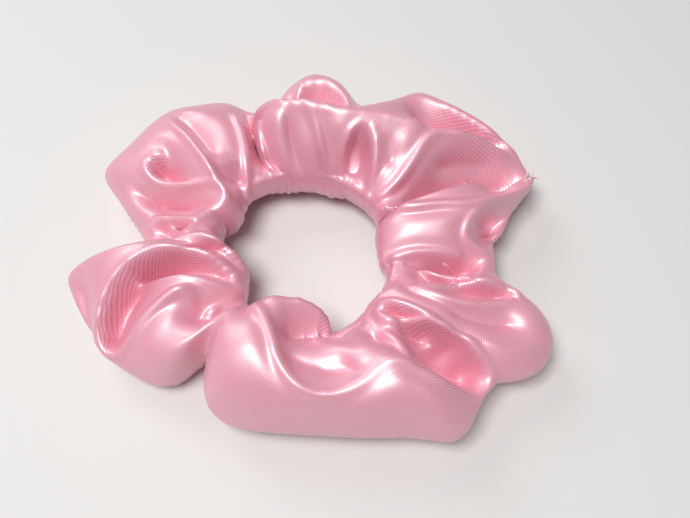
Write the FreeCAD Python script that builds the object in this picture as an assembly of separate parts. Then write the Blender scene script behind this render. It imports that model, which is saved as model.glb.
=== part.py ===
"""Satin scrunchie: a tube of satin gathered on a loop of flat elastic, closed with one row of stitches.

The cover is one sewn tube. It is drawn here as seven puffs, cut apart at the gathers between them, so
that the ring can open when it is stretched. Each puff is a hollow length of the tube: a thin wall, open
at both gathers, flat where it lies on a table, with the seam allowance and its thread inside the outer
fold. The elastic runs through all of them along the hole, with its two ends lapped and stitched. At the
closing seam one end of the tube is tucked into the other and stitched right round.

Millimetres. The origin is on the axis of the hole, on the table. +Z is up.
"""

import math
import os

import FreeCAD
import Part

Vector = FreeCAD.Vector

# The whole ring.
HOLE_RADIUS = 21.0
MIDDLE = 10.0  # height of the elastic's middle and of the long seam above the table

# The cloth.
WALL = 0.5  # gathered cloth
ALLOWANCE_WIDTH = 5.0  # the two raw edges inside the long seam
ALLOWANCE_THICKNESS = 1.0
TUCK = 6.0  # how far one end of the tube goes into the other
TUCK_CLEARANCE = 0.1
BODY_GAP = 0.3  # between puffs that part when the ring is stretched
SAG = 1.5  # how far a puff would hang below the table, which presses it flat
BULGE = 2.0  # how far a puff would swell into the hole, where the elastic holds it back
CROWN = 0.47  # place of a puff's highest line, as a share of its width from the hole
OVERSHOOT = 0.001  # share of a puff's length by which its inside is cut past its ends

# The elastic.
ELASTIC_WIDTH = 6.0
ELASTIC_THICKNESS = 0.9
ELASTIC_CLEARANCE = 0.25  # from the tucked end, which is the cloth nearest to it
ELASTIC_LAP_LENGTH = 13.0
LAP_CLEARANCE = 0.05
LAP_ANGLE = 45.0  # middle of the lap, degrees round the ring

# Thread.
THREAD_RADIUS = 0.2
THREAD_SIDES = 6
ZIGZAG_STEP = 1.5
ZIGZAG_WIDTH = 4.0
SEAM_INSET = 1.5  # the long seam's line, from the outer fold
CLOSING_INSET = 2.5  # the closing stitches, from the seam's edge
CLOSING_STITCH = 2.4

# Gathers: degrees round the ring from +X.
GATHER_ANGLES = {
    "right": 0.0,
    "closing": 22.0,
    "back_right": 65.0,
    "back_left": 112.0,
    "left": 172.0,
    "front_left": 235.0,
    "front_right": 320.0,
}
# Gathers: reach from the hole's axis, height.
GATHERS = {
    "right": (45.5, 20.0),
    "closing": (60.4, 18.0),
    "back_right": (36.5, 23.0),
    "back_left": (37.5, 24.0),
    "left": (46.0, 20.0),
    "front_left": (38.5, 23.0),
    "front_right": (49.5, 22.0),
}
# Puffs: name, gather where it starts, gather where it ends, reach and height at its middle.
PUFFS = [
    ("right", "right", "closing", 51.0, 25.0),
    ("back_right", "closing", "back_right", 53.0, 29.0),
    ("back", "back_right", "back_left", 43.5, 32.0),
    ("back_left", "back_left", "left", 55.0, 29.0),
    ("front_left", "left", "front_left", 58.5, 28.0),
    ("front", "front_left", "front_right", 43.5, 32.0),
    ("front_right", "front_right", "right", 59.5, 27.0),
]
CLOSED_GATHER = "closing"  # where the two ends of the tube are sewn together

# The cloth is drawn in flat panels between creases.
PANELS = 22  # round the tube
PANEL_LENGTH = 6.0  # along it


def ring_point(angle, radius, height):
    """A point given by degrees round the ring, distance from the hole's axis and height."""
    turn = math.radians(angle)
    return Vector(radius * math.cos(turn), radius * math.sin(turn), height)


class Puff:
    """One length of the gathered tube between two gathers."""

    def __init__(self, name, start, end, reach, height):
        self.name = name
        self.start, self.end = start, end
        self.start_angle, self.end_angle = GATHER_ANGLES[start], GATHER_ANGLES[end]
        self.start_reach, self.start_height = GATHERS[start]
        self.end_reach, self.end_height = GATHERS[end]
        if self.end_angle < self.start_angle:
            self.end_angle += 360.0
        self.reach, self.height = reach, height

    def at(self, share):
        """Angle, reach and height at a share of the way along the puff."""
        swell = math.sin(math.pi * min(max(share, 0.0), 1.0))

        def blend(first, last, middle):
            return first + (last - first) * share + (middle - (first + last) / 2) * swell

        angle = self.start_angle + (self.end_angle - self.start_angle) * share
        reach = blend(self.start_reach, self.end_reach, self.reach)
        return angle, reach, blend(self.start_height, self.end_height, self.height)

    def cut_back(self, gather):
        """Share of the puff that is left off at a gather to keep clear of the next puff."""
        if gather == CLOSED_GATHER:
            return 0.0
        angle = math.degrees(BODY_GAP / 2 / HOLE_RADIUS)
        return angle / (self.end_angle - self.start_angle)

    def sections(self, past_ends=0.0):
        """Angle, reach and height at each crease across the puff, from end to end."""
        length = math.radians(self.end_angle - self.start_angle) * self.reach
        count = round(length / PANEL_LENGTH)
        low = self.cut_back(self.start)
        high = 1.0 - self.cut_back(self.end)
        shares = [low + (high - low) * n / count for n in range(count + 1)]
        shares[0] -= past_ends
        shares[-1] += past_ends
        return [self.at(share) for share in shares]


def outline(angle, reach, height, inset):
    """Points round the tube's outline: four quarter ellipses that meet at the crown, the outer fold, the
    underside and the hole's wall, each with its radii less the inset."""
    inner = HOLE_RADIUS - BULGE
    crown = inner + CROWN * (reach - inner)
    points = []
    for n in range(PANELS):
        turn = 2 * math.pi * n / PANELS
        out, up = math.cos(turn), math.sin(turn)
        width = reach - crown if out > 0 else crown - inner
        rise = height - MIDDLE if up > 0 else MIDDLE + SAG
        points.append(ring_point(angle, crown + out * (width - inset), MIDDLE + up * (rise - inset)))
    return points


def skin(outlines):
    """The solid that runs through a row of outlines, with each side in two flat triangles."""
    faces = [outlines[0], outlines[-1]]
    for near, far in zip(outlines, outlines[1:]):
        for n in range(len(near)):
            faces.append([near[n - 1], near[n], far[n]])
            faces.append([near[n - 1], far[n], far[n - 1]])
    return Part.Solid(Part.Shell([Part.Face(Part.makePolygon(f + f[:1])) for f in faces]))


def form(puff, inset, past_ends=0.0):
    """A solid that fills the puff, inset from its outer surface, the hole's wall and the table."""
    solid = skin([outline(*place, inset) for place in puff.sections(past_ends)])
    side = 4 * max(puff.reach, puff.start_reach, puff.end_reach)
    table = Part.makeBox(side, side, side, Vector(-side / 2, -side / 2, inset - side))
    hole = Part.makeCylinder(HOLE_RADIUS + inset, side, Vector(0, 0, -side / 2))
    return solid.cut(table).cut(hole)


def tube(puff, outer_inset, inner_inset):
    """A length of tube along the puff, open at both ends."""
    return form(puff, outer_inset).cut(form(puff, inner_inset, OVERSHOOT))


def seam_allowance(puff, clearance=0.0):
    """The two raw edges inside the outer fold, as one thin fin that grows out of the wall."""
    half = ALLOWANCE_THICKNESS / 2 + clearance
    outlines = []
    for angle, reach, height in puff.sections():
        outer = reach - WALL / 2
        inner = outer - ALLOWANCE_WIDTH - clearance
        corners = [(inner, -half), (outer, -half), (outer, half), (inner, half)]
        outlines.append([ring_point(angle, r, MIDDLE + z) for r, z in corners])
    return skin(outlines)


def slab(gather, thickness):
    """A slab on a gather's plane, on the side of the next puff, or of the last one if negative."""
    size = 2 * max(GATHERS[gather])
    box = Part.makeBox(size, abs(thickness), size, Vector(0, min(thickness, 0.0), -size / 2))
    return box.rotate(Vector(), Vector(0, 0, 1), GATHER_ANGLES[gather])


def tucked_end(host, guest):
    """The guest's end inside the host, and the step that joins it to the guest's own wall."""
    outside = WALL + TUCK_CLEARANCE
    inside = outside + WALL
    sleeve = tube(host, outside, inside).common(slab(CLOSED_GATHER, -TUCK))
    step = tube(guest, 0.0, inside).common(slab(CLOSED_GATHER, WALL))
    return sleeve.cut(seam_allowance(host, THREAD_RADIUS + TUCK_CLEARANCE)).fuse(step)


def thread_corners():
    """Corners of a thread's section, in a plane across it."""
    corners = [ring_point(360.0 * n / THREAD_SIDES, THREAD_RADIUS, 0.0) for n in range(THREAD_SIDES)]
    return [(corner.x, corner.y) for corner in corners]


def side_seam_thread(puff):
    """The thread of the long seam, laid along the seam allowance near its root."""
    outlines = []
    for angle, reach, height in puff.sections():
        radius = reach - SEAM_INSET
        lift = MIDDLE + ALLOWANCE_THICKNESS / 2
        outlines.append([ring_point(angle, radius + r, lift + z) for r, z in thread_corners()])
    return skin(outlines)


def elastic_inner_radius():
    return HOLE_RADIUS + 2 * WALL + TUCK_CLEARANCE + ELASTIC_CLEARANCE


def elastic_band():
    """Flat elastic once round the hole. Its outer end leaves the ring along a tangent and lies on the
    inner end, which makes the lap."""
    climb = ELASTIC_THICKNESS + LAP_CLEARANCE
    inner_radius = elastic_inner_radius()
    half_lap = math.degrees(ELASTIC_LAP_LENGTH / 2 / inner_radius)
    low, high = LAP_ANGLE - half_lap, LAP_ANGLE + half_lap

    def ring_arc(first, last, radius):
        angles = (first, (first + last) / 2, last)
        return Part.Arc(*[ring_point(angle, radius, 0.0) for angle in angles]).toShape()

    def side(radius):
        leave = low - math.degrees(math.acos(radius / (radius + climb)))
        tangent = Part.makeLine(ring_point(leave, radius, 0.0), ring_point(low, radius + climb, 0.0))
        return [ring_arc(low - 360.0, leave, radius), tangent, ring_arc(low, high, radius + climb)]

    inner, outer = side(inner_radius), side(inner_radius + ELASTIC_THICKNESS)
    starts = [edges[0].firstVertex().Point for edges in (inner, outer)]
    ends = [edges[-1].lastVertex().Point for edges in (inner, outer)]
    strip = Part.Wire(inner + [Part.makeLine(*ends)] + outer[::-1] + [Part.makeLine(*starts)])
    band = Part.Face(strip).extrude(Vector(0, 0, ELASTIC_WIDTH))
    return band.translate(Vector(0, 0, MIDDLE - ELASTIC_WIDTH / 2))


def stitch(first, last):
    """Thread laid straight from one point to another."""
    run = last - first
    turn = FreeCAD.Rotation(Vector(0, 0, 1), run)
    corners = [first + turn.multVec(Vector(x, y, 0.0)) for x, y in thread_corners()]
    return Part.Face(Part.makePolygon(corners + corners[:1])).extrude(run)


def elastic_stitching():
    """Zigzag through both layers of the lap, over one face and under the other by turns."""
    inside = elastic_inner_radius()
    outside = inside + 2 * ELASTIC_THICKNESS + LAP_CLEARANCE
    count = int(ELASTIC_LAP_LENGTH / ZIGZAG_STEP) - 1
    step = math.degrees(ZIGZAG_STEP / inside)
    stitches = []
    for n in range(count + 1):
        angle = LAP_ANGLE + (n - count / 2) * step
        height = ZIGZAG_WIDTH / 2 * (-1) ** n
        low = ring_point(angle, inside - THREAD_RADIUS, MIDDLE + height)
        high = ring_point(angle, outside + THREAD_RADIUS, MIDDLE + height)
        stitches.append(stitch(low, high))
        if n < count:
            radius = (inside, outside)[n % 2]
            first = ring_point(angle, radius, MIDDLE + height)
            last = ring_point(angle + step, radius, MIDDLE - height)
            stitches.append(stitch(first, last))
    return stitches[0].multiFuse(stitches[1:])


def closing_stitching(host):
    """Stitches round the tube, beside the closing seam's edge, through both layers."""
    share = 1.0 - CLOSING_INSET / (math.radians(host.end_angle - host.start_angle) * host.end_reach)
    points = outline(*host.at(share), 0.0)
    stitches = []
    for first, last in zip(points, points[1:]):
        middle, along = (first + last) / 2, (last - first).normalize()
        half = along * (CLOSING_STITCH / 2)
        from_hole = math.hypot(middle.x, middle.y) - HOLE_RADIUS
        if min(middle.z, from_hole) > half.Length:
            stitches.append(stitch(middle - half, middle + half))
    return Part.makeCompound(stitches)


def save(name, shape):
    shape.exportStep(f"parts/{name}.step")


def main():
    os.makedirs("parts", exist_ok=True)
    puffs = [Puff(*row) for row in PUFFS]
    host = next(puff for puff in puffs if puff.end == CLOSED_GATHER)
    for puff in puffs:
        cover = tube(puff, 0.0, WALL).fuse(seam_allowance(puff))
        if puff.start == CLOSED_GATHER:
            cover = cover.fuse(tucked_end(host, puff))
        save(f"cover_{puff.name}", cover)
        save(f"side_seam_thread_{puff.name}", side_seam_thread(puff))
    save("elastic_band", elastic_band())
    save("elastic_stitching", elastic_stitching())
    save("closing_stitching", closing_stitching(host))


main()
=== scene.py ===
"""Looks of the satin scrunchie: the gathered cover in its folds, its seams and threads, and the elastic
that runs inside it. Lengths in the tables are millimetres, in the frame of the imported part.
"""

import math

import bmesh
import bpy
import numpy as np
from mathutils import Matrix, Vector


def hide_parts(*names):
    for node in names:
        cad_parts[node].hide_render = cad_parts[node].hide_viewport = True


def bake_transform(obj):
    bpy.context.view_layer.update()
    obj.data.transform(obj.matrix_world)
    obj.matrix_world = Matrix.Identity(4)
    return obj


MM = 0.001

# The cover as a sheet of cloth: rings of points, one after the other along the tube. A ring starts at
# the hole, goes over the top to the outer fold, and comes back underneath.
RINGS = 560
POINTS = 78
OVER_TOP = 58  # points of a ring on its upper side
STRIP_LENGTH = 450.0  # of the strip as it was cut
TUBE_GIRTH = 90.0
CLOTH = 0.35  # thickness of the satin
WEAVE = 0.95  # from one float to the next
SAG = 1.5  # how far a ring would hang below the table, which presses it flat
TABLE_GAP = 0.35
EDGE_SHARPNESS = 1.25  # 1 for a round outer edge, more for a pressed one
CROWN = 0.5  # place of a ring's highest point, as a share of its width from the hole
OUTLINE_POINTS = 401  # along a ring before it is shared out; odd, so that the middle one is the fold
FINE_ANGLES = 4001  # round the ring, to measure the outer fold
MIDDLE = 10.0  # height of the elastic's middle
CLOSED_AT = 22  # degrees round the ring: the closing seam
TUCK_RINGS = 7  # rings at the start that go under the last ones
TUCK_DEPTH = 0.8
EVEN_LENGTH = 0.7  # how far rings are spaced by the length of the outer fold, and not by angle

# The gathers: small pleats where the long strip is drawn in along the elastic, deep underneath and
# slight in the wall of the hole.
PLEATS = 54
PLEAT_DEPTH = 4.8
PLEATS_AT_WALL = 0.03
PLEATS_RUN_OUT = 0.12  # share of the way over the top by which they have run out
PLEATS_DEEPEN = (0.15, 0.35)  # and underneath, from the outer fold: where they grow to their depth,
PLEATS_FADE = (0.65, 0.85)  # and where they shrink again towards the hole

# The taut cloth between folds.
PANEL_REACH = 14.0  # how far a fold carries the cloth beside it
SETTLING = 2500
FOLD_SHARPNESS = 0.4  # shortest distance between points that counts
LEVELLED = np.array([1.0, 1.0, 0.5])  # how far height counts when a fold looks for its cloth
RIDGE_WIDTH = 1.7  # from a ridge to the crease beside it
RIDGE_DROP = 1.3
CREASE_FADE = (6, 8)  # points from the hole, and from the outer fold, over which the creases fade
RIDGE_CRISP = 1.3  # how near a fold the cloth is kept from being smoothed
HOLLOW_CRISP = 0.6  # how much of that a hollow gets
PANEL_SMOOTHING = 5
FAR_AWAY = 99.0  # more than any distance to a fold

# The elastic inside.
ELASTIC_RADIUS = 22.35
ELASTIC_THICKNESS = 0.9
ELASTIC_WIDTH = 6.0
ELASTIC_CORDS = 9
ELASTIC_LAP = 33.0  # degrees by which its ends pass each other
ELASTIC_LAP_AT = 45.0
ELASTIC_LAP_RISE = 12.0  # degrees over which the upper end climbs on the lower one
ELASTIC_STEPS = 220
ELASTIC_ROOM = (21.8, 24.8, 6.2, 13.8)  # kept clear of cloth: from, to, bottom, top
CORD_SIDES = 8  # points of the elastic's section for each cord
LOOPS_ROUND = 190.0  # radians of the knitted pattern for each radian of the ring
LOOP_HEIGHT = 0.33
ZIGZAG_POINTS = 15
ZIGZAG_STEP = 0.55  # degrees
ZIGZAG_ROW = 9.0  # degrees from one row to the next
ZIGZAG_WIDTH = 0.72  # share of the elastic's width

# Thread.
THREAD = 0.3
STITCH = 2.4
SEAM_ROW = OVER_TOP + 1
SEAM_RISE = 0.4
SEAM_PUCKER = 0.35  # share of that rise that comes and goes with each stitch
SEAM_DEPTH = 1.3  # the long seam's stitches lie this far inside the cloth
SHOWN_STITCHES = (-16, 6, 2)  # closing stitches, in points of the ring from the tip: first, end, step
LOOSE_ENDS = 8

# Colours.
DEEP_ROSE = (0.70, 0.135, 0.23, 1.0)
ROSE = (0.83, 0.285, 0.415, 1.0)
PALE_ROSE = (1.0, 0.85, 0.92, 1.0)
SHEEN = (1.0, 0.8, 0.86, 1.0)
THREAD_DARK = (0.86, 0.62, 0.68, 1.0)
THREAD_PALE = (0.97, 0.84, 0.87, 1.0)
YARN_DARK = (0.78, 0.76, 0.73, 1.0)
YARN_PALE = (0.95, 0.94, 0.92, 1.0)
FLOOR = (0.78, 0.77, 0.755, 1.0)

# The room, in metres.
ROOM_LIGHT = 0.15
PALE_WALLS = (0.55, 0.55, 0.545, 1.0)
FLOOR_HALF = 1.5
LAMPS = {  # place, width, depth, watts
    "window": ((-0.17, -0.16, 0.74), 0.4, 0.26, 4.8),
    "second_window": ((-0.45, 0.5, 0.55), 0.4, 0.4, 1.8),
}
LIT_POINT = (0, 0, 0.015)  # where the lamps are turned to
LOOK_AT = (0.0108, 0.0, 0.010)
LOOK_DOWN = 62  # degrees
LOOK_FROM = 0.178
LENS = 39.13  # on a 36 mm film

# Where the cloth lies. The outer fold: degrees round the ring from +X, reach, height.
OUTER_FOLD = [
    (22, 64, 9), (35, 61, 10), (47, 58.5, 10), (56, 57, 11), (63, 47, 12), (69, 43, 13),
    (80, 49.5, 14), (87, 51, 14), (94, 48, 14), (101, 42, 13), (108, 45, 10), (114, 51, 9),
    (123, 54, 8), (132, 57, 7), (142, 57, 6), (152, 58, 6), (159, 49, 7), (168, 40, 8),
    (177, 36, 10), (181, 46, 9), (184, 56, 7), (188, 55, 6), (202, 51.5, 5), (210, 48.5, 5),
    (217, 46, 4), (226, 41.5, 5), (229, 33, 9), (232, 30.5, 11), (236, 35, 10), (239.5, 38.5, 9),
    (244, 41, 8), (250, 42, 7), (265, 41.3, 7), (275, 41.8, 7), (284, 43.3, 7), (292, 45.5, 7),
    (299, 48, 7), (305, 52, 7), (309, 55.5, 7), (312, 55.6, 8), (316, 54.5, 9), (322, 53.3, 10),
    (326.4, 54, 8), (330, 58.5, 7), (334, 61.5, 7), (339, 62.3, 7), (344, 60, 8), (349, 53.5, 9),
    (352, 49, 9), (355, 46.8, 8), (359, 46.8, 10), (362.3, 46.3, 12), (365.5, 47, 13),
    (369, 50.5, 12), (374, 53.5, 9),
    (376.5, 56.5, 9), (379.3, 60.5, 9),
]
# The highest line of the ring: degrees, height.
CROWNS = [
    (22, 16), (47, 24), (69, 27), (87, 30), (101, 27), (108, 22), (132, 23), (152, 20), (177, 22),
    (188, 20), (210, 18), (231, 21), (260, 24), (299, 25), (310, 22), (325, 19), (340, 20), (377, 17),
]
# The wall of the hole: degrees, distance from its axis.
HOLE_WALL = [
    (22, 19), (30, 20), (37, 21.3), (57, 21.6), (70, 20), (98, 20.2), (108, 21.4), (120, 21.5),
    (133, 19.4), (146, 17), (151, 17), (158, 19.3), (170, 19), (180, 16), (188, 14), (206, 13),
    (219, 14.8), (226, 17), (234, 17), (243, 16), (257, 14.2), (270, 14.2), (284, 16.5), (291, 19),
    (298, 21.7), (339, 21.7), (349, 20.5), (357, 18.6), (373, 18.3),
]

# The folds that show, puff by puff: a few points along the top of each ridge.
RIDGES = {
    "front_left": {
        "rim": [
            (-23, -3, 21), (-28, -3, 23), (-32, -3, 22), (-37, -6, 21), (-40, -8, 19), (-43, -12, 17),
            (-44, -16, 15), (-45, -19, 13), (-44, -23, 10), (-42, -25, 9), (-39, -24, 11),
            (-36, -21, 15), (-33, -17, 18), (-28, -14, 20), (-25, -12, 22), (-23, -13, 20),
            (-23, -16, 16), (-22, -18, 13), (-20, -17, 14), (-18, -15, 17), (-18, -17, 13),
            (-16, -18, 12), (-14, -16, 14), (-12, -15, 16),
        ],
        "tongue": [
            (-37, -8, 12), (-33, -9, 16), (-30, -9, 18), (-26, -9, 20), (-22, -9, 20), (-18, -10, 19),
            (-14, -11, 15),
        ],
        "collar_outside": [
            (-27, 0, 19), (-24, 1, 20), (-21, 1, 21), (-18, 0, 21), (-15, -2, 20), (-13, -3, 18),
            (-12, -4, 15), (-11, -5, 12),
        ],
        "collar_inside": [(-23, -3, 22), (-20, -4, 22), (-17, -5, 20), (-14, -8, 17), (-12, -10, 14)],
    },
    "left": {
        "long_ridge": [
            (-34, 37, 17), (-33, 35, 19), (-31, 32, 21), (-28, 29, 22), (-26, 26, 23), (-24, 23, 23),
            (-22, 20, 23), (-20, 17, 22),
        ],
        "hook": [
            (-34, 25, 19), (-36, 24, 19), (-38, 22, 18), (-37, 20, 17), (-34, 18, 17), (-31, 17, 17),
            (-28, 16, 18), (-24, 16, 19), (-21, 16, 20), (-18, 15, 21), (-17, 13, 20), (-17, 11, 20),
            (-19, 10, 19), (-21, 8, 19), (-23, 7, 19), (-25, 5, 19), (-26, 2, 20),
        ],
        "tab": [(-21, 21, 21), (-18, 21, 21), (-16, 22, 19)],
        "right_edge": [
            (-17, 37, 19), (-14, 31, 20), (-13, 25, 19), (-13, 20, 17), (-13, 17, 14), (-13, 15, 10),
        ],
        "low_ridge": [(-36, 7, 13), (-34, 9, 15), (-30, 8, 16), (-25, 6, 19)],
    },
    "back": {
        "crest": [
            (-12, 38, 20), (-10, 37, 22), (-7, 36, 25), (-4, 34, 28), (0, 33, 29), (6, 32, 29),
            (12, 31, 28), (18, 31, 27), (24, 30, 26), (29, 30, 25),
        ],
        "second_layer": [
            (-2, 38, 24), (-1, 40, 24), (0, 42, 25), (3, 43, 25), (6, 43, 25), (9, 41, 25),
            (11, 38, 25), (12, 34, 25),
        ],
        "left_edge": [(-11, 35, 21), (-11, 31, 20), (-10, 27, 18), (-8, 23, 16), (-5, 21, 13), (-3, 20, 10)],
        "rib": [(2, 32, 28), (4, 29, 25), (5, 25, 22), (6, 23, 17), (6, 21, 13), (6, 20, 8)],
        "arch_rim": [
            (10, 19, 8), (10, 20, 13), (10, 23, 17), (11, 25, 22), (12, 27, 25), (14, 28, 26), (16, 28, 26),
            (18, 25, 25), (18, 23, 23), (18, 20, 20), (17, 18, 16), (16, 15, 13),
        ],
    },
    "back_right": {
        "long_ridge": [
            (15, 15, 9), (17, 14, 14), (19, 14, 16), (21, 15, 17), (24, 17, 19), (27, 21, 21), (29, 24, 22),
            (31, 27, 23), (34, 29, 23), (37, 29, 23), (41, 29, 22), (45, 29, 20), (48, 28, 18),
            (51, 27, 16),
        ],
        "edge": [
            (19, 38, 20), (23, 40, 20), (28, 41, 20), (31, 42, 20), (34, 40, 20), (37, 39, 20),
            (41, 37, 19), (45, 35, 18), (49, 32, 17), (53, 30, 14), (55, 29, 12),
        ],
    },
    "right": {
        "top_ridge": [
            (19, 10, 18), (22, 10, 19), (27, 9, 20), (33, 10, 20), (40, 10, 20), (46, 12, 19),
            (52, 15, 16), (57, 20, 12),
        ],
        "curl": [
            (57, 19, 12), (52, 16, 14), (48, 13, 16), (44, 11, 18), (41, 8, 18), (40, 6, 18), (39, 4, 17),
            (39, 3, 16), (40, 2, 15), (42, 1, 14), (44, 1, 13),
        ],
        "lower_edge": [(22, -2, 15), (26, -1, 16), (30, -1, 16), (35, -1, 15), (38, -1, 14)],
        "rim": [
            (29, -5, 15), (32, -7, 15), (37, -7, 15), (41, -6, 14), (43, -4, 13), (45, -1, 11), (47, 1, 9),
        ],
    },
    "front_right": {
        "loop": [
            (27, -11, 18), (32, -10, 19), (36, -9, 19), (40, -9, 19), (45, -9, 18), (49, -10, 16),
            (51, -11, 14), (48, -13, 15), (43, -14, 17), (38, -15, 18), (34, -14, 19), (30, -13, 19),
            (26, -11, 18),
        ],
    },
    "front": {
        "long_ridge": [
            (-9, -17, 22), (-7, -19, 24), (-5, -22, 24), (-4, -25, 24), (-3, -29, 24), (-1, -33, 23),
            (2, -36, 22), (6, -37, 21), (11, -36, 21), (14, -34, 22), (18, -31, 22), (21, -29, 24),
            (24, -30, 22), (26, -31, 21), (30, -32, 20), (32, -33, 18), (35, -33, 15), (37, -34, 13),
            (39, -34, 11), (41, -34, 10), (43, -32, 10), (43, -30, 11), (42, -28, 13), (40, -26, 15),
            (38, -24, 17), (36, -22, 18), (33, -21, 20), (30, -20, 20), (28, -20, 20), (25, -19, 20),
            (22, -19, 20), (20, -19, 19), (18, -18, 18), (18, -16, 17), (19, -15, 19), (20, -15, 20),
            (23, -16, 21), (25, -17, 21), (27, -18, 21), (30, -19, 20),
        ],
        "bump": [(18, -24, 14), (18, -23, 16), (19, -22, 18), (21, -23, 19), (23, -25, 20), (24, -28, 21)],
        "inner_fold": [(22, -22, 17), (24, -23, 15), (27, -23, 13), (31, -23, 11), (34, -23, 10)],
    },
}
# And, softly, along the bottom of each hollow and the top of each round back.
HOLLOWS = {
    "front_left": {
        "bowl": [(-36, -9, 9), (-39, -11, 6), (-41, -15, 4), (-41, -19, 4)],
        "crease": [(-36, -6, 8), (-32, -5, 8), (-28, -5, 9), (-24, -6, 13), (-20, -7, 15), (-16, -8, 14)],
        "collar_slot": [(-24, -1, 16), (-20, -1, 16), (-17, -2, 16), (-14, -5, 15)],
        "flap": [(-50, -7, 8), (-49, -12, 6), (-47, -18, 4)],
    },
    "left": {
        "top": [(-34, 37, 17), (-30, 37, 19), (-25, 36, 20), (-21, 35, 19)],
        "long_hollow": [(-28, 33, 17), (-25, 29, 17), (-22, 25, 17)],
        "dimple": [(-35, 23, 9), (-33, 21, 9), (-30, 20, 12)],
        "hollow": [(-36, 15, 8), (-31, 14, 8), (-27, 12, 11), (-22, 12, 15)],
        "tab_slot": [(-19, 19, 17), (-17, 19, 15), (-15, 19, 13)],
        "wedge": [(-30, 5, 9), (-26, 5, 12)],
    },
    "back": {
        "layer_slot": [(-2, 37, 17), (2, 38, 16), (6, 37, 17), (8, 35, 20)],
        "panel": [(-3, 30, 22), (-2, 26, 18), (0, 23, 15)],
        "band": [(8, 27, 23), (8, 23, 18)],
        "arch": [
            (13, 20, 13), (12, 23, 14), (12, 25, 15), (12, 27, 17), (14, 28, 19), (15, 26, 16), (15, 24, 14),
            (14, 22, 13),
        ],
        "arch_side": [(21, 26, 22), (22, 22, 18)],
        "gap": [(-13, 37, 12), (-12, 34, 9), (-11, 29, 9), (-10, 26, 10), (-8, 25, 13)],
    },
    "back_right": {
        "slot": [(28, 35, 14), (34, 34, 12), (40, 33, 11), (46, 32, 10), (50, 30, 9)],
        "face": [(25, 13, 14), (34, 15, 9), (44, 18, 7), (52, 21, 7)],
        "upper_face": [(34, 23, 14), (39, 25, 14), (46, 25, 12)],
    },
    "right": {
        "curl_hole": [
            (43, 8, 9), (44, 10, 9), (46, 10, 8), (47, 9, 8), (46, 7, 7), (44, 7, 7), (44, 5, 9), (46, 5, 9),
        ],
        "upper_slot": [(27, -4, 13), (30, -4, 9), (34, -4, 6), (37, -4, 5), (40, -3, 6)],
        "foot": [(30, -9, 10), (34, -9, 9), (38, -9, 9)],
    },
    "front_right": {
        "loop_slot": [(34, -12, 14), (39, -11, 11), (44, -11, 10), (47, -11, 11)],
        "upper_face": [(35, -17, 15), (41, -18, 13), (48, -18, 11)],
        "bulge": [(34, -21, 17), (39, -23, 17), (44, -24, 15)],
    },
    "front": {
        "dome": [(-8, -16, 22), (-5, -15, 22), (-1, -15, 22), (3, -15, 21), (6, -16, 19), (8, -18, 16)],
        "right_dome": [(14, -19, 12), (15, -15, 14), (18, -12, 17), (22, -11, 18)],
        "eye": [(-3, -18, 7), (-1, -17, 5), (1, -18, 5), (3, -19, 7)],
        "lip": [(-2, -23, 14), (2, -22, 13), (6, -22, 13), (10, -22, 13)],
        "bowl": [(-1, -28, 18), (3, -30, 18), (8, -31, 17), (12, -30, 18)],
        "rim_slot": [(21, -17, 14), (23, -17, 13), (26, -18, 15)],
        "wedge": [(23, -20, 13), (26, -21, 10), (29, -21, 9)],
        "pocket": [(25, -25, 12), (28, -26, 7), (32, -28, 5), (36, -30, 4), (38, -28, 5), (38, -26, 7)],
    },
}


def turned(degrees, radius):
    """x and y of a point given by degrees round the ring and distance from the hole's axis."""
    turn = np.radians(degrees)
    return np.stack([radius * np.cos(turn), radius * np.sin(turn)], axis=-1)


def read_round(rows, column, degrees):
    """A column of a table, read at any angle of the ring: smooth, and never past its own values."""
    rows = rows + [(rows[0][0] + 360, *rows[0][1:])]
    at = np.array([row[0] for row in rows], float)
    value = np.array([row[column] for row in rows], float)
    step = np.diff(at)
    rise = np.diff(value) / step
    slope = np.zeros(len(rows))
    both = rise[:-1] * rise[1:]
    slope[1:-1] = np.where(both > 0, 2 * both / np.where(both > 0, rise[:-1] + rise[1:], 1), 0)
    k = np.clip(np.searchsorted(at, degrees, side="right") - 1, 0, len(step) - 1)
    t = (degrees - at[k]) / step[k]
    bend = t * (1 - t) * ((1 - t) * slope[k] - t * slope[k + 1]) * step[k]
    ease = t * t * (3 - 2 * t)
    return value[k] * (1 - ease) + value[k + 1] * ease + bend


def ring_angles():
    """Degrees of each ring, so that the cloth is spread along its outer fold."""
    fine = np.linspace(CLOSED_AT, CLOSED_AT + 360, FINE_ANGLES)
    fold = turned(fine, read_round(OUTER_FOLD, 1, fine))
    length = np.append(0, np.cumsum(np.linalg.norm(np.diff(fold, axis=0), axis=1)))
    along = (1 - EVEN_LENGTH) * np.linspace(0, 1, len(fine)) + EVEN_LENGTH * length / length[-1]
    return np.interp(np.linspace(0, 1, RINGS + 1), along, fine)


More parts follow.
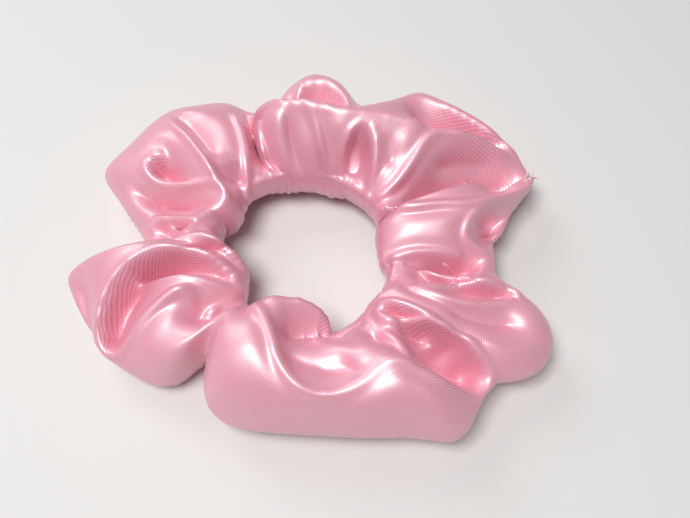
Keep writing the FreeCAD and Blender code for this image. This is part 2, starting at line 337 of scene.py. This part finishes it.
def plain_ring(hole, reach, fold_height, height):
    """Distances from the axis and heights round one ring: four quarter ellipses, flat on the table."""
    crown = hole + CROWN * (reach - hole)
    turn = math.pi - np.linspace(0, math.tau, OUTLINE_POINTS)
    out, up = np.cos(turn), np.sin(turn)
    width = np.where(out > 0, reach - crown, crown - hole)
    middle = MIDDLE + (fold_height - MIDDLE) * np.maximum(out, 0) ** 2
    rise = np.where(up > 0, height - middle, middle + SAG)
    sharp = np.where(out > 0, EDGE_SHARPNESS, 1)
    out, up = np.sign(out) * np.abs(out) ** sharp, np.sign(up) * np.abs(up) ** sharp
    outline = np.stack([crown + out * width, np.maximum(middle + up * rise, TABLE_GAP)], axis=1)
    length = np.append(0, np.cumsum(np.linalg.norm(np.diff(outline, axis=0), axis=1)))
    fold = length[OUTLINE_POINTS // 2]
    upper = np.linspace(0, fold, OVER_TOP, endpoint=False)
    lower = np.linspace(fold, length[-1], POINTS - OVER_TOP, endpoint=False)
    at = np.append(upper, lower)
    return np.stack([np.interp(at, length, outline[:, 0]), np.interp(at, length, outline[:, 1])], axis=1)


def plain_cover():
    """The cover before it is folded: rings by points by x, y, z."""
    cloth = np.zeros((RINGS + 1, POINTS, 3))
    for ring, degrees in enumerate(ring_angles()):
        hole = read_round(HOLE_WALL, 1, degrees)
        reach, fold_height = (read_round(OUTER_FOLD, column, degrees) for column in (1, 2))
        outline = plain_ring(hole, reach, fold_height, read_round(CROWNS, 1, degrees))
        cloth[ring, :, :2] = turned(degrees, outline[:, 0])
        cloth[ring, :, 2] = outline[:, 1]
    return cloth


def fold_line(points, step=0.4):
    """A smooth line led by the points of a fold."""
    ends = [2 * points[0] - points[1], *points, 2 * points[-1] - points[-2]]
    line = [points[:1]]
    for a, b, c, d in zip(ends, ends[1:], ends[2:], ends[3:]):
        t = np.linspace(0, 1, max(int(np.linalg.norm(c - b) / step), 1) + 1)[1:, None]
        near = (3 * t**3 - 6 * t**2 + 4) * b + (1 + 3 * t + 3 * t**2 - 3 * t**3) * c
        line.append(((1 - t) ** 3 * a + near + t**3 * d) / 6)
    return np.vstack(line)


def lines_of(folds):
    """Every fold of a table as a smooth line."""
    return [fold_line(np.array(points, float)) for puff in folds.values() for points in puff.values()]


def gap_to(folds, cloth):
    """Distance from each point of the upper side to the nearest of these folds."""
    upper = cloth[:, :OVER_TOP]
    gap = np.full(cloth.shape[:2], FAR_AWAY)
    for line in lines_of(folds):
        for point in line[::2]:
            gap[:, :OVER_TOP] = np.minimum(gap[:, :OVER_TOP], np.linalg.norm(upper - point, axis=2))
    return gap


def crease_beside_ridges(gap):
    """How far the cloth is pressed down on both sides of each ridge, so that the ridge stands up."""
    reach = gap / RIDGE_WIDTH
    drop = RIDGE_DROP * reach**2 * np.exp(1 - reach**2)
    point = np.arange(POINTS)
    from_hole, from_fold = CREASE_FADE
    return drop * np.clip(point / from_hole, 0, 1) * np.clip((OVER_TOP - point) / from_fold, 0, 1)


def smooth_panels(cloth, ridge_gap, hollow_gap):
    """Smooth the cloth between the folds, and keep the folds crisp."""
    at_ridge, at_hollow = (np.exp(-((gap / RIDGE_CRISP) ** 2)) for gap in (ridge_gap, hollow_gap))
    crisp = np.minimum(at_ridge + HOLLOW_CRISP * at_hollow, 1)[..., None]
    smooth = cloth
    for _ in range(PANEL_SMOOTHING):
        smooth = soften(smooth) * (1 - crisp) + cloth * crisp
    return smooth


def hold_folds(cloth):
    """Which points of the cloth the folds hold, and how far they take them."""
    shift = np.zeros_like(cloth)
    count = np.zeros(cloth.shape[:2])
    upper = cloth[:, 1:OVER_TOP].reshape(-1, 3) * LEVELLED
    for point in np.vstack(lines_of(RIDGES) + lines_of(HOLLOWS)):
        nearest = int(np.argmin(np.sum((upper - point * LEVELLED) ** 2, axis=1)))
        ring, place = divmod(nearest, OVER_TOP - 1)
        shift[ring, place + 1] += point - cloth[ring, place + 1]
        count[ring, place + 1] += 1
    held = count > 0
    shift[held] /= count[held][:, None]
    return held, shift


def settle(cloth, held, shift):
    """Spread the shifts over the cloth between the folds, as taut cloth would lie."""
    along = np.linalg.norm(np.diff(cloth, axis=0), axis=2)
    around = np.linalg.norm(np.roll(cloth, -1, 1) - cloth, axis=2)
    pull_along = (1 / np.maximum(along, FOLD_SHARPNESS) ** 2)[..., None]
    pull_on = (1 / np.maximum(around, FOLD_SHARPNESS) ** 2)[..., None]
    pull_back = np.roll(pull_on, 1, 1)
    total = pull_on + pull_back + 1 / PANEL_REACH**2
    total[:-1] += pull_along
    total[1:] += pull_along
    kept = held.copy()
    kept[:, 0] = True
    kept[:, OVER_TOP:] = True
    for _ in range(SETTLING):
        moved = pull_on * np.roll(shift, -1, 1) + pull_back * np.roll(shift, 1, 1)
        moved[:-1] += pull_along * shift[1:]
        moved[1:] += pull_along * shift[:-1]
        moved /= total
        moved[kept] = shift[kept]
        shift = moved
    return cloth + shift


def soften(cloth):
    """Round the folds a little, along the tube and round it."""
    along = cloth.copy()
    along[1:-1] = (2 * cloth[1:-1] + cloth[:-2] + cloth[2:]) / 4
    return (2 * along + np.roll(along, 1, 1) + np.roll(along, -1, 1)) / 4


def gather(cloth):
    """Draw the strip in: pleats underneath, pushed into the tube, that run out up the wall of the hole."""
    ring = np.linspace(0, math.tau, RINGS + 1)[:, None]
    point = np.arange(POINTS)[None, :]
    below = (point - OVER_TOP) / (POINTS - OVER_TOP)
    depth = np.interp(below, [*PLEATS_DEEPEN, *PLEATS_FADE], [0, 1, 1, PLEATS_AT_WALL])
    depth += np.interp(point / OVER_TOP, [0, PLEATS_RUN_OUT], [PLEATS_AT_WALL, 0]) * (below < 0)
    wander = np.sin(5 * ring + 0.08 * point) + np.sin(8 * ring + 1.3) + np.sin(13 * ring + 0.7)
    wave = (1 + np.cos(PLEATS * ring + wander)) * (1 + 0.3 * np.sin(11 * ring + wander))
    return cloth - (PLEAT_DEPTH * depth * wave)[..., None] * normals_of(cloth)


def clear_elastic(cloth):
    """The elastic runs inside: cloth near it goes over it, under it, or to the hole's side of it."""
    near, far, low, high = ELASTIC_ROOM
    radius = np.hypot(cloth[..., 0], cloth[..., 1])
    height = cloth[..., 2]
    over = np.arange(POINTS) < OVER_TOP
    past = np.where(over, high - height, height - low)
    inside = radius - near
    hits = (past > 0) & (inside > 0) & (radius < far)
    sideways = hits & (inside < past)
    cloth[..., 2] = np.where(hits & ~sideways, np.where(over, high, low), height)
    cloth[..., :2] *= np.where(sideways, near / np.maximum(radius, near), 1)[..., None]


def folded_cover():
    """The cover in its folds: held at its ridges and hollows, creased, smoothed and gathered."""
    cloth = plain_cover()
    cloth = settle(cloth, *hold_folds(cloth))
    ridge_gap, hollow_gap = gap_to(RIDGES, cloth), gap_to(HOLLOWS, cloth)
    cloth[..., 2] -= crease_beside_ridges(ridge_gap)
    cloth = gather(soften(smooth_panels(cloth, ridge_gap, hollow_gap)))
    clear_elastic(cloth)
    cloth = soften(cloth)
    clear_elastic(cloth)
    cloth[..., 2] = np.maximum(cloth[..., 2], TABLE_GAP)
    raise_seam(cloth)
    return cloth


def raise_seam(cloth):
    """The long seam shows as a fine line that stands up, drawn in a little at each stitch."""
    length = np.arange(RINGS + 1) / RINGS * STRIP_LENGTH
    pull = SEAM_RISE * (1 + SEAM_PUCKER * np.cos(math.tau * length / STITCH))
    cloth[:, SEAM_ROW] += pull[:, None] * normals_of(cloth)[:, SEAM_ROW]


def normals_of(cloth):
    """Outward directions of a tube of rings."""
    along = np.gradient(cloth, axis=0)
    around = np.roll(cloth, -1, 1) - np.roll(cloth, 1, 1)
    normal = np.cross(around, along)
    normal /= np.maximum(np.linalg.norm(normal, axis=2), 1e-9)[..., None]
    return normal


def tuck_start(cloth):
    """Put the first rings inside the last ones, where one end of the tube goes into the other."""
    ring = np.arange(RINGS + 1)
    back = TUCK_RINGS * np.clip(1 - ring / (3 * TUCK_RINGS), 0, 1)
    loop = np.vstack([cloth[-TUCK_RINGS - 1 : -1], cloth])
    place = ring - back + TUCK_RINGS
    low = np.minimum(place.astype(int), len(loop) - 2)
    part = (place - low)[:, None, None]
    tucked = loop[low] * (1 - part) + loop[low + 1] * part
    take_in = TUCK_DEPTH * np.clip(back / TUCK_RINGS * 1.5, 0, 1)
    return tucked - take_in[:, None, None] * normals_of(tucked)


def tube_mesh(name, cloth):
    """A tube made from a grid of cloth: its long edges are sewn together, its ends are open."""
    rings, points = cloth.shape[0] - 1, cloth.shape[1]
    form = bmesh.new()
    flat = form.loops.layers.uv.new("cloth")
    bmesh.ops.create_grid(form, x_segments=rings, y_segments=points, size=0.5)
    place = {}
    for vert in form.verts:
        place[vert] = (round((vert.co.x + 0.5) * rings), round((vert.co.y + 0.5) * points))
    for face in form.faces:
        for loop in face.loops:
            ring, point = place[loop.vert]
            along, around = ring / rings * STRIP_LENGTH, point / points * TUBE_GIRTH
            loop[flat].uv = (along * MM, around * MM)
    first = {ring: vert for vert, (ring, point) in place.items() if point == 0}
    sewn = {vert: first[ring] for vert, (ring, point) in place.items() if point == points}
    for vert, (ring, point) in place.items():
        vert.co = Vector(cloth[ring, point % points]) * MM
    bmesh.ops.weld_verts(form, targetmap=sewn)
    mesh = bpy.data.meshes.new(name)
    form.to_mesh(mesh)
    form.free()
    mesh.shade_smooth()
    return mesh


def piece(name, mesh, material):
    """A named piece in the scene, in one material."""
    made = bpy.data.objects.new(name, mesh)
    bpy.context.scene.collection.objects.link(made)
    made.data.materials.append(material)
    return made


class Shade:
    """A socket of a material, to be written in sums."""

    def __init__(self, tree, socket):
        self.tree = tree
        self.socket = socket

    def node(self, kind, settings=None, **inputs):
        """A new node. Inputs go by name, or by number as i0, i1 and so on."""
        made = self.tree.nodes.new(kind)
        for key, value in (settings or {}).items():
            setattr(made, key, value)
        for key, value in inputs.items():
            socket = made.inputs[int(key[1:])] if key[1:].isdigit() else made.inputs[key.replace("_", " ")]
            if isinstance(value, Shade):
                self.tree.links.new(value.socket, socket)
            else:
                socket.default_value = value
        return made

    def made(self, kind, output=0, settings=None, **inputs):
        """An output of a new node."""
        return Shade(self.tree, self.node(kind, settings, **inputs).outputs[output])

    def maths(self, operation, *values):
        inputs = {f"i{place}": value for place, value in enumerate(values)}
        return self.made("ShaderNodeMath", settings={"operation": operation}, **inputs)

    def __add__(self, other):
        return self.maths("ADD", self, other)

    __radd__ = __add__

    def __sub__(self, other):
        return self.maths("SUBTRACT", self, other)

    def __rsub__(self, other):
        return self.maths("SUBTRACT", other, self)

    def __mul__(self, other):
        return self.maths("MULTIPLY", self, other)

    __rmul__ = __mul__

    def sine(self):
        return self.maths("SINE", self)

    def limited(self):
        return self.made("ShaderNodeClamp", Value=self)

    def mixed(self, one, other):
        """A colour between two others, by this factor."""
        settings = {"data_type": "RGBA"}
        return self.made("ShaderNodeMix", 2, settings, i0=self, i6=one, i7=other)


def new_material(name, **finish):
    """A material, its shader, and its first socket to write sums from."""
    made = bpy.data.materials.new(name)
    made.use_nodes = True
    shader = made.node_tree.nodes["Principled BSDF"]
    for socket, value in finish.items():
        shader.inputs[socket.replace("_", " ")].default_value = value
    return made, shader, Shade(made.node_tree, None)


def connect(shade, shader, socket):
    """Lead a sum into a socket of the shader."""
    shade.tree.links.new(shade.socket, shader.inputs[socket])


def satin():
    """Polyester satin: a fine twill of floating threads, glossy along the ridges, deep rose in shade."""
    made, shader, start = new_material(
        "rose_satin",
        Specular_IOR_Level=1.0,
        Coat_Roughness=0.4,
        Coat_IOR=3.2,
        Sheen_Weight=0.15,
        Sheen_Roughness=0.4,
        Sheen_Tint=SHEEN,
    )
    flat = start.made("ShaderNodeUVMap", settings={"uv_map": "cloth"})
    split = start.node("ShaderNodeSeparateXYZ", Vector=flat)
    along, around = Shade(start.tree, split.outputs[0]), Shade(start.tree, split.outputs[1])
    pitch = math.tau / (WEAVE * MM)
    twill = (along * pitch).sine() * (around * pitch).sine()
    strands = start.made(
        "ShaderNodeTexNoise",
        Vector=start.made("ShaderNodeMapping", Vector=flat, Scale=(450.0, 3200.0, 1.0)),
        Scale=1.0,
        Detail=2.0,
    )
    place = start.made("ShaderNodeTexCoord", 3)
    cast = start.made("ShaderNodeTexNoise", Vector=place, Scale=38.0, Detail=2.0)
    tone = (0.5 + 0.3 * (cast - 0.5) + 0.3 * (strands - 0.5)).limited()
    ground = tone.mixed(DEEP_ROSE, ROSE)
    floats = (1.6 * twill + 0.25).limited()
    connect((0.3 * floats).mixed(ground, PALE_ROSE), shader, "Base Color")
    connect(0.46 - 0.1 * floats + 0.08 * strands, shader, "Roughness")
    connect(0.4 + 0.6 * floats, shader, "Coat Weight")
    height = 0.5 * twill + strands
    bump = start.made("ShaderNodeBump", Height=height, Strength=0.8, Distance=0.00006)
    connect(bump, shader, "Normal")
    return made


def thread():
    """Polyester sewing thread: two plies, paler than the satin."""
    made, shader, start = new_material("sewing_thread", Roughness=0.5, Sheen_Weight=0.3)
    place = start.made("ShaderNodeTexCoord", 3)
    wave = start.made("ShaderNodeTexWave", 1, {"bands_direction": "DIAGONAL"}, Vector=place, Scale=900.0)
    ply = wave.limited()
    connect(ply.mixed(THREAD_DARK, THREAD_PALE), shader, "Base Color")
    connect(start.made("ShaderNodeBump", Height=ply, Strength=0.4, Distance=0.00005), shader, "Normal")
    return made


def knitted_elastic():
    """White knitted elastic: small loops of yarn over rubber cords."""
    made, shader, start = new_material("knitted_elastic", Roughness=0.75, Sheen_Weight=0.2)
    place = start.made("ShaderNodeTexCoord", 3)
    split = start.node("ShaderNodeSeparateXYZ", Vector=place)
    x, y, z = (Shade(start.tree, split.outputs[axis]) for axis in range(3))
    round_ring = start.maths("ARCTAN2", y, x) * LOOPS_ROUND
    loops = round_ring.sine() * (z * (math.tau / (LOOP_HEIGHT * MM))).sine()
    fuzz = start.made("ShaderNodeTexNoise", Vector=place, Scale=2500.0, Detail=3.0)
    tone = (0.5 + 0.35 * loops + 0.3 * (fuzz - 0.5)).limited()
    connect(tone.mixed(YARN_DARK, YARN_PALE), shader, "Base Color")
    bump = start.made("ShaderNodeBump", Height=loops + 0.4 * fuzz, Strength=0.5, Distance=0.00008)
    connect(bump, shader, "Normal")
    return made


def floor_cloth():
    """A plain pale floor that keeps the shadow."""
    return new_material("pale_floor", Base_Color=FLOOR, Roughness=0.9)[0]


def stage():
    """The floor, which is there for the picture only."""
    form = bmesh.new()
    bmesh.ops.create_grid(form, x_segments=1, y_segments=1, size=FLOOR_HALF)
    mesh = bpy.data.meshes.new("floor")
    form.to_mesh(mesh)
    form.free()
    piece("floor", mesh, floor_cloth())


def lamp(name, place, width, depth, power):
    """A soft lamp, turned to the scrunchie."""
    light = bpy.data.lights.new(name, "AREA")
    light.shape = "RECTANGLE"
    light.energy = power
    light.size = width
    light.size_y = depth
    holder = bpy.data.objects.new(name, light)
    bpy.context.scene.collection.objects.link(holder)
    holder.location = place
    holder.rotation_euler = (Vector(LIT_POINT) - Vector(place)).to_track_quat("-Z", "Y").to_euler()


def pale_room():
    """Dim light from all round, and a pale room for the camera and for what mirrors it."""
    world = bpy.data.worlds.new("room")
    world.use_nodes = True
    tree = world.node_tree
    tree.nodes["Background"].inputs["Color"].default_value = (1.0, 1.0, 1.0, 1.0)
    tree.nodes["Background"].inputs["Strength"].default_value = ROOM_LIGHT
    rays = Shade(tree, None).node("ShaderNodeLightPath").outputs
    seen = [Shade(tree, rays[f"Is {kind} Ray"]) for kind in ("Camera", "Glossy", "Transmission")]
    walls = Shade(tree, None).made("ShaderNodeBackground", Color=PALE_WALLS)
    room = Shade(tree, tree.nodes["Background"].outputs[0])
    shown = walls.made("ShaderNodeMixShader", i0=(seen[0] + seen[1] + seen[2]).limited(), i1=room, i2=walls)
    tree.links.new(shown.socket, tree.nodes["World Output"].inputs["Surface"])
    bpy.context.scene.world = world


def studio():
    """A window nearly overhead, a weaker one from behind on the left, and a plain pale room."""
    pale_room()
    for name, values in LAMPS.items():
        lamp(name, *values)


def camera():
    """The main view: from the front, and steeply from above."""
    elevation = math.radians(LOOK_DOWN)
    away = Vector((0, -math.cos(elevation), math.sin(elevation)))
    lens = bpy.data.cameras.new("camera")
    lens.sensor_width = 36
    lens.lens = LENS
    lens.clip_start = 0.01
    holder = bpy.data.objects.new("camera", lens)
    bpy.context.scene.collection.objects.link(holder)
    holder.location = Vector(LOOK_AT) + away * LOOK_FROM
    holder.rotation_euler = (-away).to_track_quat("-Z", "Y").to_euler()
    bpy.context.scene.camera = holder


def cover(material, cloth):
    """The whole cover, as thick as its cloth."""
    made = piece("cover", tube_mesh("cover", cloth), material)
    wall = made.modifiers.new("cloth", "SOLIDIFY")
    wall.thickness = CLOTH * MM
    wall.offset = -1
    stretches(made, "cover_")
    return made


def stretches(made, node_start):
    """The piece stands for the CAD nodes whose names start like this, which are hidden; its place is baked
    into its points.
    """
    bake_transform(made)
    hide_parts(*[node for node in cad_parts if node.startswith(node_start)])


def threads(name, runs, material):
    """Lengths of thread, each a smooth line through its points, in millimetres."""
    curve = bpy.data.curves.new(name, "CURVE")
    curve.dimensions = "3D"
    curve.bevel_depth = THREAD / 2 * MM
    curve.bevel_resolution = 1
    curve.resolution_u = 4
    curve.use_fill_caps = True
    for run in runs:
        line = curve.splines.new("NURBS")
        line.points.add(len(run) - 1)
        for knot, point in zip(line.points, run):
            knot.co = (*(np.array(point) * MM), 1.0)
        line.order_u = 3
        line.use_endpoint_u = True
    holder = bpy.data.objects.new(name, curve)
    mesh = bpy.data.meshes.new_from_object(holder)
    mesh.name = name
    bpy.data.objects.remove(holder)
    bpy.data.curves.remove(curve)
    mesh.materials.clear()
    mesh.shade_smooth()
    return piece(name, mesh, material)


def seam_stitches(cloth, normal):
    """Machine stitches along the long seam, from end to end of the tube."""
    normal = normal[:, SEAM_ROW]
    line = cloth[:, SEAM_ROW] - SEAM_DEPTH * normal
    length = np.append(0, np.cumsum(np.linalg.norm(np.diff(line, axis=0), axis=1)))
    runs = []
    for start in np.arange(2.0, length[-1] - STITCH, STITCH):
        at = start + STITCH * np.array([0.0, 0.3, 0.6, 0.9])
        run = np.stack([np.interp(at, length, line[:, axis]) for axis in range(3)], axis=1)
        runs.append(run + np.outer([0, THREAD / 2, THREAD / 2, 0], normal[min(int(start), RINGS)]))
    return runs


def one_long(direction):
    """The same direction, one millimetre long."""
    return direction / max(np.linalg.norm(direction), 1e-6)


def closing_stitches(cloth, normal):
    """Hand stitches over the closing seam, none quite like the last."""
    runs = []
    for turn, point in enumerate(range(*SHOWN_STITCHES)):
        point += OVER_TOP
        lean = 1.2 * math.sin(2.3 * turn)
        edge, up = cloth[RINGS, point], normal[RINGS, point]
        along = one_long(edge - cloth[RINGS - 3, point])
        beside = one_long(cloth[RINGS, (point + 1) % POINTS] - edge)
        reach = 1.3 + 0.5 * math.sin(1.7 * turn)
        steps = ((-reach, -0.5, -0.1), (-reach / 2, -0.2, 0.2), (0.3, 0.2, 0.2), (1.0, 0.6, -0.7))
        runs.append([edge + a * along + (b + b * lean) * beside + c * up for a, b, c in steps])
    return runs


def loose_ends(cloth):
    """Frayed threads at the tip of the closing seam."""
    out = one_long(cloth[RINGS, OVER_TOP])
    side = np.cross(out, (0.0, 0.0, 1.0))
    runs = []
    for end in range(LOOSE_ENDS):
        turn = 2.4 * end
        start = cloth[RINGS, OVER_TOP + 1 - LOOSE_ENDS + end]
        length = 1.6 + 1.3 * math.sin(3.1 * end) ** 2
        away = out * (0.7 + 0.5 * math.sin(turn)) + side * 0.9 * math.cos(turn)
        lift = np.array([0, 0, 0.5 + 0.4 * math.sin(1.9 * end)])
        bend = side * 0.8 * math.sin(4.3 * end)
        steps = (0.5 * away + lift, away + 0.6 * lift + bend)
        runs.append([start] + [start + length * step for step in steps])
    return runs


def elastic_band(material):
    """Flat knitted elastic: lengthwise cords, in a loop whose last part lies over its first."""
    form = bmesh.new()
    count = ELASTIC_CORDS * CORD_SIDES
    section = []
    for step in range(count):
        face = 1 if step < count / 2 else -1
        across = face * (step % (count / 2) / (count / 2) - 0.5)
        swell = 0.75 + 0.25 * abs(math.cos(math.pi * ELASTIC_CORDS * (across + 0.5)))
        thick = face * ELASTIC_THICKNESS / 2 * swell * max(1 - (2 * across) ** 8, 0.2)
        place = Vector((ELASTIC_RADIUS + ELASTIC_THICKNESS / 2 + thick, 0, MIDDLE + across * ELASTIC_WIDTH))
        section.append(form.verts.new(place * MM))
    rim = [form.edges.new(pair) for pair in zip(section, section[1:] + section[:1])]
    turn = math.radians(360 + ELASTIC_LAP)
    bmesh.ops.spin(form, geom=section + rim, axis=(0, 0, 1), angle=turn, steps=ELASTIC_STEPS, use_merge=False)
    form.verts.index_update()
    for vert in form.verts:
        left = (ELASTIC_STEPS - vert.index // count) / ELASTIC_STEPS * (360 + ELASTIC_LAP)
        ease = min(max((ELASTIC_LAP + ELASTIC_LAP_RISE - left) / ELASTIC_LAP_RISE, 0), 1)
        out = Vector((vert.co.x, vert.co.y, 0)).normalized()
        vert.co += out * ease * ease * (3 - 2 * ease) * ELASTIC_THICKNESS * MM
    bmesh.ops.holes_fill(form, edges=[edge for edge in form.edges if edge.is_boundary], sides=0)
    bmesh.ops.recalc_face_normals(form, faces=form.faces)
    start = Matrix.Rotation(math.radians(ELASTIC_LAP_AT - ELASTIC_LAP / 2), 4, "Z")
    bmesh.ops.transform(form, matrix=start, verts=form.verts)
    mesh = bpy.data.meshes.new("elastic")
    form.to_mesh(mesh)
    form.free()
    mesh.shade_smooth()
    return piece("elastic", mesh, material)


def elastic_zigzag(material):
    """Three rows of zigzag through both ends of the elastic."""
    radius = ELASTIC_RADIUS + 2 * ELASTIC_THICKNESS + THREAD / 2
    runs = []
    for row in (-1, 0, 1):
        run = []
        for step in range(ZIGZAG_POINTS):
            degrees = ELASTIC_LAP_AT + ZIGZAG_ROW * row + ZIGZAG_STEP * (step - ZIGZAG_POINTS // 2)
            x, y = turned(degrees, radius)
            side = 0.5 if step % 2 else -0.5
            run.append((x, y, MIDDLE + side * ZIGZAG_WIDTH * ELASTIC_WIDTH))
        runs.append(run)
    return threads("elastic_zigzag", runs, material)


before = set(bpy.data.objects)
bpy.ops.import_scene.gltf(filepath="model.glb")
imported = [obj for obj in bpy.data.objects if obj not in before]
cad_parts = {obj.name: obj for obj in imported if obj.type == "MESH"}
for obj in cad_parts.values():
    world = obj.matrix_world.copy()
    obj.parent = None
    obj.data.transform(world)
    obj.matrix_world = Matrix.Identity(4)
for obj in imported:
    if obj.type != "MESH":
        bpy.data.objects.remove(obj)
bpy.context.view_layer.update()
bpy.context.scene.view_settings.view_transform = "Standard"
camera()
studio()
stage()

cloth = tuck_start(folded_cover())
facing = normals_of(cloth)
thread_look = thread()
the_cover = cover(satin(), cloth)
seam = threads("side_seam", seam_stitches(cloth, facing), thread_look)
stretches(seam, "side_seam_thread_")
ends = closing_stitches(cloth, facing) + loose_ends(cloth)
closing = threads("closing_stitches", ends, thread_look)
stretches(closing, "closing_stitching")
stretches(elastic_band(knitted_elastic()), "elastic_band")
stretches(elastic_zigzag(thread_look), "elastic_stitching")
